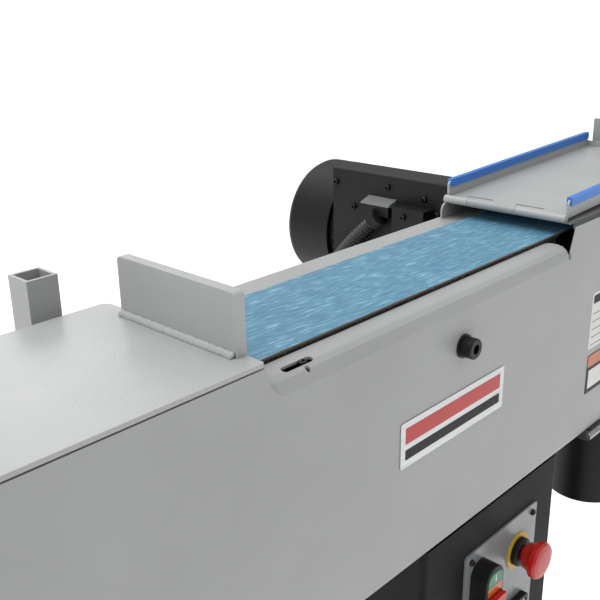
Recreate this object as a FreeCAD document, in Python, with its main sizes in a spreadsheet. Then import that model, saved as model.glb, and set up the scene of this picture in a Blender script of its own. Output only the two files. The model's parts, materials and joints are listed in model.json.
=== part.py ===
import FreeCAD, Part
import math
import os
import Sketcher

# Stationary belt grinder: a long sheet-metal belt housing on a pedestal, with the motor behind it.
# X runs along the belt, Y from the operator's side to the motor side, Z up from the floor.
# The origin is on the floor, in the middle of the base plate's bolt pattern.

doc = FreeCAD.newDocument("BeltGrinder")
dims = doc.addObject("Spreadsheet::Sheet", "Dims")
Vector = FreeCAD.Vector


# ---- sizes ------------------------------------------------------------------------------------

def textOf(size):
    return size.text if isinstance(size, Size) else repr(float(size))


def valueOf(size):
    return size.value if isinstance(size, Size) else float(size)


class Size:
    # A length that knows both its value and the sheet formula that gives it.
    def __init__(self, value, text):
        self.value = value
        self.text = text

    def __add__(self, other):
        return Size(self.value + valueOf(other), f"({self.text} + {textOf(other)})")

    def __sub__(self, other):
        return Size(self.value - valueOf(other), f"({self.text} - {textOf(other)})")

    def __rsub__(self, other):
        return Size(valueOf(other) - self.value, f"({textOf(other)} - {self.text})")

    def __mul__(self, other):
        return Size(self.value * valueOf(other), f"({self.text} * {textOf(other)})")

    def __truediv__(self, other):
        return Size(self.value / valueOf(other), f"({self.text} / {textOf(other)})")

    def __neg__(self):
        return self * -1

    __radd__ = __add__
    __rmul__ = __mul__


rowCount = 0


def cell(alias, value):
    # One driving dimension: a row of the sheet with its alias.
    global rowCount
    rowCount += 1
    dims.set(f"A{rowCount}", alias)
    dims.set(f"B{rowCount}", str(value))
    dims.setAlias(f"B{rowCount}", alias)
    return Size(value, f"Dims.{alias}")


# Belt, wheels and platen
beltTop = cell("beltTop", 950)
beltWidth = cell("beltWidth", 100)
beltThick = cell("beltThick", 1.5)
beltFront = cell("beltFront", -100)
drumGap = cell("drumGap", 0.3)
wheelRadius = cell("wheelRadius", 98.7)
driveX = cell("driveX", 316)
idlerX = cell("idlerX", -370)
shaftRadius = cell("shaftRadius", 14)
padThick = cell("padThick", 2.2)
platenThick = cell("platenThick", 10)
platenLeft = cell("platenLeft", -300)
platenRight = cell("platenRight", 120)

# Housing
housingLeft = cell("housingLeft", -505)
housingRight = cell("housingRight", 431)
housingBottom = cell("housingBottom", 720.5)
doorFace = cell("doorFace", -125)
rearFace = cell("rearFace", 38)
sheetThick = cell("sheetThick", 2)
plateThick = cell("plateThick", 3)
bendRadius = cell("bendRadius", 8)
ledgeTop = cell("ledgeTop", 946)
ledgeBend = cell("ledgeBend", 13)
doorBend = cell("doorBend", 7)
ledgeLeft = cell("ledgeLeft", -288)
ledgeRight = cell("ledgeRight", 94)
coverTop = cell("coverTop", 962)
coverRight = cell("coverRight", -303)
coverRear = cell("coverRear", 43.5)
coverCorner = cell("coverCorner", 8)
doorTopLeft = cell("doorTopLeft", 957.7)
doorTopRight = cell("doorTopRight", 962.5)
hingeRadius = cell("hingeRadius", 4)

# Work stop and accessory post on the cover
stopThick = cell("stopThick", 8)
stopHeight = cell("stopHeight", 43.5)
stopFront = cell("stopFront", -108)
stopRear = cell("stopRear", 14)
weldLeg = cell("weldLeg", 6)
postSide = cell("postSide", 25)
postWall = cell("postWall", 2.5)
postLeft = cell("postLeft", -360.5)
postFront = cell("postFront", 52.5)
postTop = cell("postTop", 990)

# Hood and lid over the drive wheel
hoodLeft = cell("hoodLeft", 106)
hoodFront = cell("hoodFront", -112)
hoodRear = cell("hoodRear", 28)
lidHingeX = cell("lidHingeX", 111)
lidHingeZ = cell("lidHingeZ", 966.5)
lidTilt = cell("lidTilt", 1.8)
lidLength = cell("lidLength", 314)
lidFront = cell("lidFront", -110)
lidRear = cell("lidRear", 27)
lidFlange = cell("lidFlange", 17.5)
lidBarrel = cell("lidBarrel", 4)

# Pedestal and control panel
baseWidth = cell("baseWidth", 420)
baseDepth = cell("baseDepth", 380)
baseThick = cell("baseThick", 12)
boltSpanX = cell("boltSpanX", 360)
boltSpanY = cell("boltSpanY", 320)
boltHole = cell("boltHole", 14)
columnLeft = cell("columnLeft", -117)
columnRight = cell("columnRight", 117)
columnFront = cell("columnFront", -120)
columnRear = cell("columnRear", 100)
columnTop = cell("columnTop", 716)
panelLeft = cell("panelLeft", -53)
panelRight = cell("panelRight", 77)
panelTop = cell("panelTop", 679)
panelBottom = cell("panelBottom", 504)
switchDepth = cell("switchDepth", 18)
switchWidth = cell("switchWidth", 30)
switchTop = cell("switchTop", 665.5)
switchHeight = cell("switchHeight", 70)
switchX = cell("switchX", -29)
estopX = cell("estopX", 42)
estopZ = cell("estopZ", 638)
estopRadius = cell("estopRadius", 19)
selectorX = cell("selectorX", 38)
selectorZ = cell("selectorZ", 558)
selectorSide = cell("selectorSide", 44)

# Motor and dust outlet
motorRadius = cell("motorRadius", 78)
motorStart = cell("motorStart", 54)
motorEnd = cell("motorEnd", 312)
cowlRadius = cell("cowlRadius", 86)
cowlStart = cell("cowlStart", 302)
cowlEnd = cell("cowlEnd", 380)
sidePlateX = cell("sidePlateX", 228)
sidePlateTop = cell("sidePlateTop", 949)
spigotX = cell("spigotX", 352)
spigotRadius = cell("spigotRadius", 50)
spigotBottom = cell("spigotBottom", 545)
lockX = cell("lockX", -80.3)
lockZ = cell("lockZ", 902)
nameplateLeft = cell("nameplateLeft", -163)
nameplateRight = cell("nameplateRight", -14)
nameplateBottom = cell("nameplateBottom", 822.5)
nameplateTop = cell("nameplateTop", 862.5)
leverArmX = cell("leverArmX", -220)
conduitRadius = cell("conduitRadius", 10.5)

doc.recompute()

beltRear = beltFront + beltWidth
beltCentre = beltFront + beltWidth / 2
beltInner = wheelRadius + drumGap
axleZ = beltTop - beltThick - beltInner
panFloor = housingBottom + plateThick
wallFront = rearFace - plateThick
doorBack = doorFace + sheetThick
panFront = doorBack + 15
trackingY = beltCentre + 40
trackingZ = axleZ + 30


# ---- building blocks --------------------------------------------------------------------------

parts = {}
turnFor = {
    "z": FreeCAD.Rotation(),
    "y": FreeCAD.Rotation(Vector(1, 0, 0), -90),
    "-y": FreeCAD.Rotation(Vector(1, 0, 0), 90),
    "x": FreeCAD.Rotation(Vector(0, 1, 0), 90),
    "-x": FreeCAD.Rotation(Vector(0, 1, 0), -90),
    "-z": FreeCAD.Rotation(Vector(1, 0, 0), 180),
}


def bind(item, name, size):
    item.setExpression(name, textOf(size))


def place(item, x, y, z, direction="z"):
    item.Placement = FreeCAD.Placement(Vector(0, 0, 0), turnFor[direction])
    bind(item, "Placement.Base.x", x)
    bind(item, "Placement.Base.y", y)
    bind(item, "Placement.Base.z", z)
    return item


def box(xs, ys, zs):
    item = doc.addObject("Part::Box", "block")
    bind(item, "Length", xs[1] - xs[0])
    bind(item, "Width", ys[1] - ys[0])
    bind(item, "Height", zs[1] - zs[0])
    return place(item, xs[0], ys[0], zs[0])


def rod(centre, length, radius, direction):
    item = doc.addObject("Part::Cylinder", "rod")
    bind(item, "Radius", radius)
    bind(item, "Height", length)
    return place(item, *centre, direction)


def join(*items):
    item = doc.addObject("Part::MultiFuse", "joined")
    item.Shapes = list(items)
    item.Refine = True
    return item


def cut(base, *tools):
    item = doc.addObject("Part::Cut", "cut")
    item.Base = base
    item.Tool = tools[0] if len(tools) == 1 else join(*tools)
    item.Refine = True
    return item


def group(*items):
    item = doc.addObject("Part::Compound", "group")
    item.Links = list(items)
    return item


def node(name, item):
    item.Label = name
    parts[name] = item
    return item


def newBody(name):
    body = doc.addObject("PartDesign::Body", name)
    return node(name, body)


def sketchOn(body, plane, offset, *loops):
    # A sketch on one of the body's origin planes. Each loop is a list of corners, or a
    # (centre, radius) pair for a circle, and every corner is dimensioned from the sheet.
    sketch = body.newObject("Sketcher::SketchObject", "outline")
    planes = [item for item in body.Origin.OriginFeatures if item.Role == plane]
    sketch.AttachmentSupport = [(planes[0], "")]
    sketch.MapMode = "FlatFace"
    sketch.setExpression("AttachmentOffset.Base.z", textOf(offset))
    for loop in loops:
        if isinstance(loop, tuple):
            addCircle(sketch, *loop)
        else:
            addCorners(sketch, loop)
    return sketch


def pinDown(sketch, geometry, vertex, point):
    for kind, size in zip(("DistanceX", "DistanceY"), point):
        index = sketch.addConstraint(
            Sketcher.Constraint(kind, -1, 1, geometry, vertex, valueOf(size)))
        label = f"at{index}"
        sketch.renameConstraint(index, label)
        sketch.setExpression(f"Constraints.{label}", textOf(size))


def addCorners(sketch, corners):
    first = sketch.GeometryCount
    count = len(corners)
    spots = [Vector(valueOf(x), valueOf(y), 0) for x, y in corners]
    for index in range(count):
        sketch.addGeometry(Part.LineSegment(spots[index], spots[(index + 1) % count]), False)
    for index in range(count):
        following = first + (index + 1) % count
        sketch.addConstraint(Sketcher.Constraint("Coincident", first + index, 2, following, 1))
    for index, corner in enumerate(corners):
        pinDown(sketch, first + index, 1, corner)


def addCircle(sketch, centre, radius):
    spot = Vector(valueOf(centre[0]), valueOf(centre[1]), 0)
    circle = sketch.addGeometry(Part.Circle(spot, Vector(0, 0, 1), valueOf(radius)), False)
    pinDown(sketch, circle, 3, centre)
    index = sketch.addConstraint(Sketcher.Constraint("Radius", circle, valueOf(radius)))
    label = f"round{index}"
    sketch.renameConstraint(index, label)
    sketch.setExpression(f"Constraints.{label}", textOf(radius))


def pad(body, plane, low, high, *loops):
    # Adds material between two levels. The XZ plane's normal points along -Y.
    start = -high if plane == "XZ_Plane" else low
    sketch = sketchOn(body, plane, start, *loops)
    feature = body.newObject("PartDesign::Pad", "pad")
    feature.Profile = sketch
    bind(feature, "Length", high - low)
    return feature


def pocket(body, plane, low, high, *loops):
    # Removes material between two levels, and checks that something was removed.
    doc.recompute()
    before = body.Shape.Volume
    start = -low if plane == "XZ_Plane" else high
    sketch = sketchOn(body, plane, start, *loops)
    feature = body.newObject("PartDesign::Pocket", "pocket")
    feature.Profile = sketch
    bind(feature, "Length", high - low)
    doc.recompute()
    if body.Shape.Volume > before - 0.1:
        raise RuntimeError(f"a pocket of {body.Label} removed nothing")
    return feature


def fillet(body, radius, wanted):
    # Rounds the edges whose middle point satisfies the test.
    doc.recompute()
    base = body.Tip
    names = []
    for index, edge in enumerate(base.Shape.Edges):
        middle = edge.valueAt((edge.FirstParameter + edge.LastParameter) / 2)
        if wanted(middle, edge):
            names.append(f"Edge{index + 1}")
    if not names:
        raise RuntimeError(f"no edge of {body.Label} to round")
    feature = body.newObject("PartDesign::Fillet", "rounding")
    feature.Base = (base, names)
    bind(feature, "Radius", radius)
    return feature


def polar(body, feature, count):
    pattern = body.newObject("PartDesign::PolarPattern", "pattern")
    pattern.Originals = [feature]
    axes = [item for item in body.Origin.OriginFeatures if item.Role == "Z_Axis"]
    pattern.Axis = (axes[0], [""])
    pattern.Angle = 360
    pattern.Occurrences = count
    body.Tip = pattern
    return pattern


def turned(name, x, y, z, direction, profile):
    # A solid of revolution: profile corners are (radius, distance along the direction).
    body = newBody(name)
    sketch = sketchOn(body, "XZ_Plane", 0, profile)
    feature = body.newObject("PartDesign::Revolution", "turned")
    feature.Profile = sketch
    feature.ReferenceAxis = (sketch, ["V_Axis"])
    feature.Angle = 360
    place(body, x, y, z, direction)
    return body


def near(first, second, margin=0.01):
    return abs(first - valueOf(second)) < margin


def along(edge, axis):
    # True for a straight edge that runs along the named axis.
    ends = [vertex.Point for vertex in edge.Vertexes]
    if len(ends) < 2:
        return False
    step = ends[1] - ends[0]
    others = [item for item in "xyz" if item != axis]
    return abs(getattr(step, axis)) > 0.5 and all(abs(getattr(step, item)) < 1e-6 for item in others)


def rectangle(xs, ys):
    return [(xs[0], ys[0]), (xs[1], ys[0]), (xs[1], ys[1]), (xs[0], ys[1])]


# ---- pedestal ---------------------------------------------------------------------------------

def basePlate():
    body = newBody("base_plate")
    half = (baseWidth / 2, baseDepth / 2)
    pad(body, "XY_Plane", 0, baseThick, rectangle((-half[0], half[0]), (-half[1], half[1])))
    holes = [((sideX * boltSpanX / 2, sideY * boltSpanY / 2), boltHole / 2)
             for sideX in (-1, 1) for sideY in (-1, 1)]
    pocket(body, "XY_Plane", 0, baseThick, *holes)
    fillet(body, 12, lambda middle, edge: along(edge, "z"))


def column():
    body = newBody("pedestal_column")
    wall = sheetThick
    pad(body, "XY_Plane", baseThick, columnTop,
        rectangle((columnLeft, columnRight), (columnFront, columnRear)))
    fillet(body, 6, lambda middle, edge: along(edge, "z"))
    pocket(body, "XY_Plane", baseThick, columnTop - wall,
           rectangle((columnLeft + wall, columnRight - wall), (columnFront + wall, columnRear - wall)))
    window = rectangle((panelLeft + 12, panelRight - 12), (panelBottom + 20, panelTop - 20))
    pocket(body, "XZ_Plane", columnFront, columnFront + wall, window)
    door = rectangle((columnLeft + 30, columnRight - 30), (120, 560))
    pocket(body, "XZ_Plane", columnRear - wall, columnRear, door)
    pad(body, "XY_Plane", columnTop, housingBottom,
        rectangle((columnLeft, columnRight), (beltFront, columnRear)))


def columnFittings():
    cover = box((columnLeft + 20, columnRight - 20), (columnRear, columnRear + 1.5), (110, 570))
    knobs = [rod((side * 75, columnRear + 1.5, height), 4, 5, "y") for side in (-1, 1) for height in (130, 550)]
    node("service_cover", join(cover, *knobs))


def controlPlate():
    body = newBody("control_plate")
    pad(body, "XZ_Plane", columnFront - 2, columnFront,
        rectangle((panelLeft, panelRight), (panelBottom, panelTop)))
    fillet(body, 3, lambda middle, edge: along(edge, "y"))
    face = columnFront - 2
    pocket(body, "XZ_Plane", face, columnFront, ((estopX, estopZ), 11.3), ((selectorX, selectorZ), 9),
           ((switchX, switchTop - switchHeight / 2), 12))
    screws = [rod((sideX, face - 3.2, sideZ), 3.2, 3.2, "y")
              for sideX in (panelLeft + 9, panelRight - 9) for sideZ in (panelTop - 9, panelBottom + 9)]
    node("panel_screws", group(*screws))


def arch(half, low, high, radius):
    # The outline of a push button whose two top corners are rounded in short facets.
    turns = [math.radians(angle) for angle in (0, 22.5, 45, 67.5, 90)]
    flat = half - radius
    right = [(switchX + flat + radius * math.cos(turn), high - radius + radius * math.sin(turn))
             for turn in turns]
    left = [(switchX - flat - radius * math.sin(turn), high - radius + radius * math.cos(turn))
            for turn in turns]
    return [(switchX - half, low), (switchX + half, low)] + right + left


def twinSwitch():
    body = newBody("switch_housing")
    face = columnFront - 2
    half = switchWidth / 2
    middle = (switchTop - half, switchTop - switchHeight + half)
    pad(body, "XZ_Plane", face - switchDepth, face,
        rectangle((switchX - half, switchX + half), (switchTop - switchHeight, switchTop)))
    fillet(body, half - 0.5, lambda spot, edge: along(edge, "y"))
    fillet(body, 1.2, lambda spot, edge: near(spot.y, face - switchDepth))
    startLevels = (middle[0] - 4, middle[0] + 10)
    stopLevels = (middle[1] + 3, middle[1] + 24)
    gap = 0.3
    hollow = [arch(12.3 + gap, middle[0] - 14.2, startLevels[1] + gap, 9 + gap),
              rectangle((switchX - 12.3 - gap, switchX + 12.3 + gap), (stopLevels[0] - gap, stopLevels[1] + gap))]
    pocket(body, "XZ_Plane", face - switchDepth, face - 4, *hollow)
    for name, levels, front, corner in (("start_button", startLevels, 0.6, 9),
                                        ("stop_button", stopLevels, 6, 0.5)):
        button = newBody(name)
        pad(button, "XZ_Plane", face - switchDepth - front, face - 8, arch(12.3, *levels, corner))
        fillet(button, 0.4, lambda spot, edge: near(spot.y, face - switchDepth - front))
    node("indicator_lamp", box((switchX - 12.3, switchX + 12.3), (face - switchDepth - 0.4, face - 6),
                               (middle[0] - 14, middle[0] - 4.4)))


def emergencyStop():
    face = columnFront - 2
    turned("estop_ring", estopX, face, estopZ, "-y", [(11.5, 0), (20, 0), (20, 1.2), (11.5, 1.2)])
    turned("estop_collar", estopX, face, estopZ, "-y",
           [(8.5, -36), (11, -36), (11, 1.3), (15, 1.3), (15, 6), (13.5, 8), (8.5, 8)])
    turned("estop_mushroom", estopX, face, estopZ, "-y",
           [(0, -30), (8, -30), (8, 12.5), (13.5, 12.5), (14.2, 16), (16, 19.5), (estopRadius, 22),
            (estopRadius, 27), (17.5, 29.5), (12, 30.6), (0, 31)])


def selectorSwitch():
    face = columnFront - 2
    half = selectorSide / 2
    body = newBody("selector_bezel")
    pad(body, "XZ_Plane", face - 7, face,
        rectangle((selectorX - half, selectorX + half), (selectorZ - half, selectorZ + half)))
    fillet(body, 3, lambda spot, edge: along(edge, "y"))
    pocket(body, "XZ_Plane", face - 7, face - 5.5,
           rectangle((selectorX - half + 4, selectorX + half - 4), (selectorZ - half + 4, selectorZ + half - 4)))
    pocket(body, "XZ_Plane", face - 5.5, face, ((selectorX, selectorZ), 5.3))
    shaft = rod((selectorX, face - 10, selectorZ), 30, 5, "y")
    disc = rod((selectorX, face - 12.3, selectorZ), 5, 13, "y")
    grip = box((selectorX - 4, selectorX + 4), (face - 24, face - 12), (selectorZ - 13, selectorZ + 13))
    node("selector_knob", join(shaft, disc, grip))


# ---- belt housing -----------------------------------------------------------------------------

def rearWall():
    # A vertical sheet whose top is folded forward into the rear ledge. It stands higher at the
    # left, where the cover lies on it.
    body = newBody("rear_frame_plate")
    pad(body, "YZ_Plane", coverRight + 0.5, housingRight - plateThick,
        [(wallFront, housingBottom), (rearFace, housingBottom), (rearFace, ledgeTop),
         (beltRear + 1, ledgeTop), (beltRear + 1, ledgeTop - plateThick), (wallFront, ledgeTop - plateThick)])
    fillet(body, bendRadius,
           lambda spot, edge: along(edge, "x") and near(spot.y, rearFace) and near(spot.z, ledgeTop))
    fillet(body, bendRadius - plateThick,
           lambda spot, edge: along(edge, "x") and near(spot.y, wallFront) and near(spot.z, ledgeTop - plateThick))
    pad(body, "XZ_Plane", wallFront, rearFace,
        rectangle((housingLeft, coverRight + 0.5), (housingBottom, coverTop - plateThick)))
    pocket(body, "XZ_Plane", wallFront, rearFace, ((driveX, axleZ), shaftRadius + 14),
           ((leverArmX, axleZ - 40), 6.05))


def endPlates():
    # The lower front corners are cut back, because the door's bottom lip swings through there.
    front = doorBack + 1
    relief = [(front, panFloor + 12), (front + 12.5, panFloor)]
    top = coverTop - plateThick
    left = newBody("left_end_plate")
    pad(left, "YZ_Plane", housingLeft, housingLeft + plateThick,
        [*relief, (wallFront, panFloor), (wallFront, top), (front, top)])
    pocket(left, "YZ_Plane", housingLeft, housingLeft + plateThick, ((trackingY, trackingZ), 4))
    right = newBody("right_end_plate")
    pad(right, "YZ_Plane", housingRight - plateThick, housingRight,
        [*relief, (rearFace, panFloor), (rearFace, ledgeTop - bendRadius), (rearFace - bendRadius, ledgeTop),
         (hoodRear, ledgeTop), (hoodRear, coverTop), (hoodFront, coverTop), (front, coverTop - 4)])
    pan = box((housingLeft, housingRight), (panFront, wallFront), (housingBottom, panFloor))
    outlet = rod((spigotX, beltCentre, housingBottom - 1), 6, spigotRadius - 2, "z")
    node("bottom_pan", cut(pan, outlet))


def leftCover():
    body = newBody("left_cover")
    pad(body, "XY_Plane", coverTop - plateThick, coverTop,
        rectangle((housingLeft, coverRight), (doorFace, coverRear)))
    fillet(body, coverCorner, lambda spot, edge: along(edge, "z") and spot.y > 0)
    fillet(body, 3, lambda spot, edge: along(edge, "z") and spot.y < 0 and abs(edge.Length - 3) < 0.01)
    fillet(body, 0.8, lambda spot, edge: near(spot.z, coverTop))


def workStop():
    body = newBody("stop_plate")
    left = coverRight - stopThick
    pad(body, "YZ_Plane", left, coverRight, rectangle((stopFront, stopRear), (coverTop, coverTop + stopHeight)))
    fillet(body, 4, lambda spot, edge: along(edge, "x") and near(spot.z, coverTop + stopHeight))
    fillet(body, 0.7, lambda spot, edge: near(spot.x, left) and spot.z > coverTop.value + 1)
    weld = newBody("stop_weld")
    pad(weld, "XZ_Plane", stopFront + 0.5, stopRear - 0.5,
        [(left - weldLeg, coverTop), (left, coverTop), (left, coverTop + weldLeg)])


def accessoryPost():
    outer = box((postLeft, postLeft + postSide), (postFront, postFront + postSide), (780, postTop))
    inner = box((postLeft + postWall, postLeft + postSide - postWall),
                (postFront + postWall, postFront + postSide - postWall), (775, postTop + 1))
    clamps = [join(box((postLeft - 20, postLeft + postSide + 20), (rearFace, rearFace + 3), (height, height + 30)),
                   box((postLeft - 1, postLeft + postSide + 1), (rearFace + 3, postFront), (height + 5, height + 25)))
              for height in (800, 890)]
    node("accessory_post", join(cut(outer, inner), *clamps))


def hood():
    # Two side plates and a top, open at the left where the belt runs in.
    body = newBody("right_hood")
    end = housingRight - plateThick
    pad(body, "XZ_Plane", hoodRear - sheetThick, hoodRear,
        rectangle((hoodLeft - 2, end), (ledgeTop, coverTop)))
    fillet(body, bendRadius,
           lambda spot, edge: along(edge, "y") and near(spot.x, hoodLeft - 2) and near(spot.z, coverTop))
    pad(body, "XY_Plane", coverTop - sheetThick, coverTop, rectangle((hoodLeft + 12, end), (hoodFront, hoodRear)))
    pad(body, "XZ_Plane", hoodFront, hoodFront + sheetThick,
        [(hoodLeft + 60, 900), (end, 900), (end, coverTop), (hoodLeft + 20, coverTop),
         (hoodLeft + 21, coverTop - 7), (hoodLeft + 25, coverTop - 12), (hoodLeft + 33, coverTop - 15),
         (hoodLeft + 60, coverTop - 16)])


def lidParts():
    # The lid is drawn with its hinge axis at the body's origin and tilted back on the hood.
    edges = (lidFront, lidFront + 53.5, lidFront + 109.5, lidRear)
    body = newBody("lid")
    pad(body, "XY_Plane", 0, sheetThick,
        rectangle((lidBarrel + 0.5, lidLength), (lidFront, lidRear)))
    for low in (lidFront, lidRear - sheetThick):
        pad(body, "XZ_Plane", low, low + sheetThick,
            [(3, 0), (lidLength, 0), (lidLength, lidFlange), (6, lidFlange), (3, lidFlange - 3)])
    pad(body, "YZ_Plane", lidLength - sheetThick, lidLength,
        rectangle((lidFront, lidRear), (0, lidFlange * 0.5)))
    for low, high in (edges[:2], edges[2:]):
        pad(body, "XZ_Plane", low, high, ((0, 0), lidBarrel))
        pad(body, "XZ_Plane", low, high, rectangle((0, lidBarrel + 2), (0, sheetThick)))
        pocket(body, "XZ_Plane", low, high, ((0, 0), 2.1))
    slots = [rectangle((12.5, 15.6), (low, low + 31)) for low in (-79, -22)]
    pocket(body, "XY_Plane", 0, sheetThick, *slots)
    body.Placement = FreeCAD.Placement(Vector(0, 0, 0), FreeCAD.Rotation(Vector(0, 1, 0), -lidTilt.value))
    bind(body, "Placement.Base.x", lidHingeX)
    bind(body, "Placement.Base.z", lidHingeZ)
    for name, low in (("lid_trim_front", lidFront - 1.8), ("lid_trim_rear", lidRear - sheetThick - 1.8)):
        trim = newBody(name)
        pad(trim, "XZ_Plane", low, low + sheetThick + 3.6,
            [(6, lidFlange - 6), (lidLength - 2, lidFlange - 6), (lidLength - 2, lidFlange + 2), (6, lidFlange + 2)])
        pocket(trim, "XZ_Plane", low + 1.8, low + 1.8 + sheetThick,
               [(5, lidFlange - 7), (lidLength, lidFlange - 7), (lidLength, lidFlange), (5, lidFlange)])
        trim.Placement = body.Placement
        bind(trim, "Placement.Base.x", lidHingeX)
        bind(trim, "Placement.Base.z", lidHingeZ)
    pin = rod((lidHingeX, lidFront - 1, lidHingeZ), lidRear - lidFront + 2, 2.02, "y")
    knuckle = rod((lidHingeX, edges[1] + 0.4, lidHingeZ), edges[2] - edges[1] - 0.8, lidBarrel, "y")
    leaf = box((lidHingeX, hoodLeft + 34), (edges[1] + 0.4, edges[2] - 0.4), (coverTop, coverTop + 1.5))
    node("hood_hinge_leaf", join(knuckle, leaf, pin))
    rest = join(box((housingRight, housingRight + 4), (0, 22), (900, 1012)),
                box((housingRight - 10, housingRight + 4), (0, 22), (973.4, 975.9)))
    node("lid_rest", rest)


# ---- front door -------------------------------------------------------------------------------

def bentSheet(corner, radius, turns):
    # The outer and inner rows of corners of a sheet bent in short press-brake facets about a corner point.
    angles = [math.radians(turn) for turn in turns]
    rows = [[(corner[0] + reach * math.cos(angle), corner[1] + reach * math.sin(angle)) for angle in angles]
            for reach in (radius, radius - sheetThick)]
    return rows[0], rows[1][::-1]


def slotOutline(left, right, front, rear):
    # A slot with round ends, drawn in short facets.
    radius = (rear - front) / 2
    middle = (front + rear) / 2
    turns = [math.radians(angle) for angle in (-90, -45, 0, 45, 90)]
    start = [(left + radius - radius * math.cos(turn), middle - radius * math.sin(turn)) for turn in turns]
    end = [(right - radius + radius * math.cos(turn), middle + radius * math.sin(turn)) for turn in turns]
    return end + start


def frontDoor():
    # A folded sheet: the face, the ledge beside the belt, and the lip along the bottom.
    body = newBody("front_door")
    waist = ledgeTop - ledgeBend
    foot = housingBottom + doorBend
    leftEdge = [(ledgeLeft, waist), (ledgeLeft - 4.4, waist + 3.7), (ledgeLeft - 8, waist + 6.4),
                (ledgeLeft - 11, waist + 10.3), (ledgeLeft - 13, waist + 19.3), (ledgeLeft - 15, doorTopLeft)]
    pad(body, "XZ_Plane", doorFace, doorBack,
        [(housingLeft, foot), (housingRight, foot), (housingRight, doorTopRight), (ledgeRight + 11, doorTopRight),
         (ledgeRight + 3, waist + 6), (ledgeRight + 3, waist), *leftEdge, (housingLeft, doorTopLeft)])
    outer, inner = bentSheet((doorFace + ledgeBend, waist), ledgeBend, (180, 157.5, 135, 112.5, 90))
    pad(body, "YZ_Plane", ledgeLeft - 14, ledgeRight,
        [(doorFace, waist - 1), *outer, (beltFront - 1, ledgeTop), (beltFront - 1, ledgeTop - sheetThick),
         *inner, (doorBack, waist - 1)])
    fillet(body, 7, lambda spot, edge: along(edge, "z") and near(spot.y, beltFront - 1) and spot.x > 0)
    outer, inner = bentSheet((doorFace + doorBend, foot), doorBend, (180, 202.5, 225, 247.5, 270))
    pad(body, "YZ_Plane", housingLeft, housingRight,
        [(doorFace, foot + 1), *outer, (doorBack + 10, housingBottom), (doorBack + 10, housingBottom + sheetThick),
         *inner, (doorBack, foot + 1)])
    pocket(body, "XY_Plane", ledgeTop - 8, ledgeTop,
           slotOutline(ledgeLeft + 8, ledgeLeft + 37, beltFront - 18, beltFront - 12.6))
    pocket(body, "XY_Plane", ledgeTop - 10, ledgeTop, ((ledgeLeft + 26.9, beltFront - 20.6), 1.9))
    pocket(body, "XZ_Plane", doorFace, doorBack, ((lockX, lockZ), 5.2))


def doorFittings():
    plate = newBody("nameplate")
    pad(plate, "XZ_Plane", doorFace - 0.8, doorFace,
        rectangle((nameplateLeft, nameplateRight), (nameplateBottom, nameplateTop)))
    fillet(plate, 2, lambda spot, edge: along(edge, "y"))
    head = [(0, -14), (4.9, -14), (4.9, 0.1), (10.2, 0.1), (10.2, 2.2), (8.8, 2.4), (8.8, 11.6), (8, 12.4),
            (4.2, 12.4), (4.2, 6), (0, 6)]
    turned("lock_screw", lockX, doorFace, lockZ, "-y", head)
    node("lock_cam", cut(box((lockX - 6, lockX + 6), (doorBack + 7, doorBack + 11), (lockZ - 9, lockZ + 39)),
                         rod((lockX, doorBack + 6, lockZ), 8, 4.9, "y")))


def doorHinges():
    # Barrel hinges under the door's lower edge: outer knuckles on the pan, the middle one on the door.
    axisY = doorFace - 3
    axisZ = housingBottom - 3
    low = axisZ - hingeRadius
    fixed = []
    moving = []
    for start in (166, -400):
        pinHole = rod((start + 17, axisY, axisZ), 26, 1.88, "x")
        middle = rod((start + 18.3, axisY, axisZ), 23.4, hingeRadius, "x")
        tongue = box((start + 18.3, start + 41.7), (axisY, doorFace + doorBend + 4),
                     (housingBottom - 1.5, housingBottom))
        moving.append(cut(join(middle, tongue), pinHole))
        fixed.append(rod((start - 1, axisY, axisZ), 62, 1.8, "x"))
        for offset in (0, 42):
            span = (start + offset, start + offset + 18)
            fixed.append(rod((start + offset, axisY, axisZ), 18, hingeRadius, "x"))
            fixed.append(box(span, (axisY, panFront + 8), (low, low + 1.5)))
            fixed.append(box(span, (panFront, panFront + 8), (low, housingBottom)))
    node("door_hinge_fixed", join(*fixed))
    node("door_hinge_moving", group(*moving))


# ---- belt drive -------------------------------------------------------------------------------

def stadium(radius, front, rear):
    ends = [rod((centre, front, axleZ), rear - front, radius, "y") for centre in (driveX, idlerX)]
    return join(box((idlerX, driveX), (front, rear), (axleZ - radius, axleZ + radius)), *ends)


def beltAndPlaten():
    node("abrasive_belt", cut(stadium(beltInner + beltThick, beltFront, beltRear),
                              stadium(beltInner, beltFront - 1, beltRear + 1)))
    padTop = beltTop - beltThick - drumGap
    platenTop = padTop - padThick
    node("graphite_pad", box((platenLeft, platenRight), (beltFront + 1, beltRear - 1), (platenTop, padTop)))
    arms = [box((platenLeft, platenRight), (beltFront + 3, beltRear - 3),
                (platenTop - platenThick, platenTop))]
    for centre in (-220, 40):
        arms.append(box((centre - 4, centre + 4), (beltFront + 10, wallFront),
                        (platenTop - platenThick - 40, platenTop - platenThick)))
        arms.append(box((centre - 20, centre + 20), (wallFront - 5, wallFront),
                        (platenTop - platenThick - 80, platenTop - platenThick)))
    node("platen", join(*arms))


def wheelProfile(bore, hubRadius, rimInner, rimOuter, half, web):
    return [(bore, -half), (hubRadius, -half), (hubRadius, -web), (rimInner, -web), (rimInner, -half),
            (rimOuter, -half), (rimOuter, half), (rimInner, half), (rimInner, web), (hubRadius, web),
            (hubRadius, half), (bore, half)]


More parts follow.
